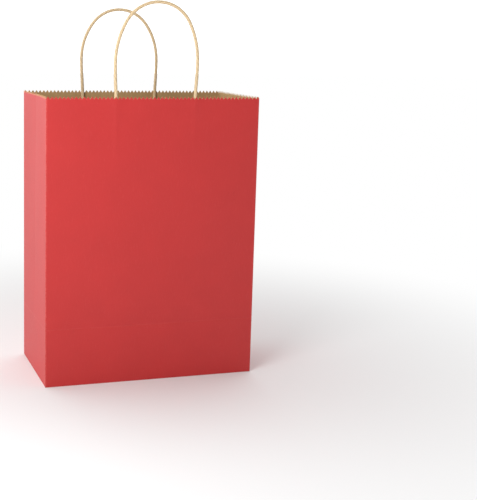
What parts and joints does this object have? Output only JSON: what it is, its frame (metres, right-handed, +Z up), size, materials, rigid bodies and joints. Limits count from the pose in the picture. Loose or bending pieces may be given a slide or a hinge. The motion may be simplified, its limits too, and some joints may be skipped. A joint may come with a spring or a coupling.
{
  "type": "gift bag",
  "caption": "Open-topped paper gift bag with gusseted sides, a flat block bottom, a zigzag-cut mouth and a looped twisted-paper cord handle on the front and back.",
  "frame": {"origin": "on the floor, at the middle of the bag's outline from above", "axes": "+Z up through the open mouth, +X along the wide walls to the right as seen from the front, -Y out of the front wall"},
  "size_m": [0.203, 0.108, 0.353],
  "materials": {
    "bag_sheet": "red printed kraft paper outside, bare kraft inside",
    "patch": "bare brown kraft paper",
    "cord": "twisted pale kraft paper cord"
  },
  "bodies": {
    "back_panel": {"back_wall": "bag_sheet", "glue_lap": "bag_sheet", "rear_patch_base": "patch", "rear_patch_cover": "patch", "rear_cord_tails": "cord"},
    "left_rear_gusset": {"left_gusset_rear": "bag_sheet"},
    "left_front_gusset": {"left_gusset_front": "bag_sheet"},
    "front_panel": {"front_wall": "bag_sheet", "front_patch_base": "patch", "front_patch_cover": "patch", "front_cord_tails": "cord"},
    "right_rear_gusset": {"right_gusset_rear": "bag_sheet"},
    "right_front_gusset": {"right_gusset_front": "bag_sheet"},
    "bottom_panel": {"bottom_flap_front": "bag_sheet", "bottom_flap_rear": "bag_sheet", "left_bottom_tuck": "bag_sheet", "right_bottom_tuck": "bag_sheet"},
    "front_foot_strip": {"front_foot": "bag_sheet"},
    "left_foot_triangle": {"left_foot_centre": "bag_sheet"},
    "right_foot_triangle": {"right_foot_centre": "bag_sheet"},
    "left_front_triangle": {"left_foot_front": "bag_sheet"},
    "right_front_triangle": {"right_foot_front": "bag_sheet"},
    "front_handle_loop": {"front_handle": "cord"},
    "rear_handle_loop": {"rear_handle": "cord"}
  },
  "joints": [
    {"name": "flat_fold", "type": "hinge", "parent": "back_panel", "child": "left_rear_gusset", "pos_m": [-0.1013, 0.0538, 0], "axis": [0, 0, 1], "range_deg": [0, 80], "deforming": ["front_foot", "left_foot_centre", "right_foot_centre", "left_foot_front", "right_foot_front"]},
    {"name": "left_crease", "type": "hinge", "parent": "left_rear_gusset", "child": "left_front_gusset", "pos_m": [-0.1015, 0, 0], "axis": [0, 0, -1], "range_deg": [0, 160.1]},
    {"name": "front_corner_crease", "type": "hinge", "parent": "left_front_gusset", "child": "front_panel", "pos_m": [-0.1013, -0.0538, 0], "axis": [0, 0, 1], "range_deg": [0, 80.1]},
    {"name": "right_rear_crease", "type": "hinge", "parent": "back_panel", "child": "right_rear_gusset", "pos_m": [0.1013, 0.0538, 0], "axis": [0, 0, -1], "range_deg": [0, 80.1]},
    {"name": "right_crease", "type": "hinge", "parent": "right_rear_gusset", "child": "right_front_gusset", "pos_m": [0.1015, 0, 0], "axis": [0, 0, 1], "range_deg": [0, 160.1]},
    {"name": "bottom_lift", "type": "hinge", "parent": "back_panel", "child": "bottom_panel", "pos_m": [0, 0.0538, 0.0006], "axis": [-1, 0, 0], "range_deg": [0, 57.12]},
    {"name": "front_foot_crease", "type": "hinge", "parent": "front_panel", "child": "front_foot_strip", "pos_m": [0, -0.054, 0.054], "axis": [-1, 0, 0], "range_deg": [0, 132.91]},
    {"name": "left_foot_crease", "type": "hinge", "parent": "bottom_panel", "child": "left_foot_triangle", "pos_m": [-0.1013, 0, 0.0006], "axis": [0, 1, 0], "range_deg": [0, 68.39]},
    {"name": "right_foot_crease", "type": "hinge", "parent": "bottom_panel", "child": "right_foot_triangle", "pos_m": [0.1013, 0, 0.0006], "axis": [0, -1, 0], "range_deg": [0, 68.39]},
    {"name": "left_foot_front_crease", "type": "hinge", "parent": "front_foot_strip", "child": "left_front_triangle", "pos_m": [-0.1013, -0.0538, 0.027], "axis": [0, 0, -1], "range_deg": [0, 97.39]},
    {"name": "right_foot_front_crease", "type": "hinge", "parent": "front_foot_strip", "child": "right_front_triangle", "pos_m": [0.1013, -0.0538, 0.027], "axis": [0, 0, 1], "range_deg": [0, 97.39]},
    {"name": "front_handle_swing", "type": "hinge", "parent": "front_panel", "child": "front_handle_loop", "pos_m": [0, -0.0503, 0.256], "axis": [-1, 0, 0], "range_deg": [0, 180]},
    {"name": "rear_handle_swing", "type": "hinge", "parent": "back_panel", "child": "rear_handle_loop", "pos_m": [0, 0.0503, 0.256], "axis": [1, 0, 0], "range_deg": [0, 180]}
  ],
  "couplings": [
    {"joint": "left_crease", "follows": "flat_fold", "ratio": 2},
    {"joint": "front_corner_crease", "follows": "flat_fold", "ratio": 1},
    {"joint": "right_rear_crease", "follows": "flat_fold", "ratio": 1},
    {"joint": "right_crease", "follows": "flat_fold", "ratio": 2},
    {"joint": "bottom_lift", "follows": "flat_fold", "ratio": 0.7134},
    {"joint": "front_foot_crease", "follows": "flat_fold", "ratio": 1.6608},
    {"joint": "left_foot_crease", "follows": "flat_fold", "ratio": 0.8543},
    {"joint": "right_foot_crease", "follows": "flat_fold", "ratio": 0.8543},
    {"joint": "left_foot_front_crease", "follows": "flat_fold", "ratio": 1.2168},
    {"joint": "right_foot_front_crease", "follows": "flat_fold", "ratio": 1.2168}
  ]
}
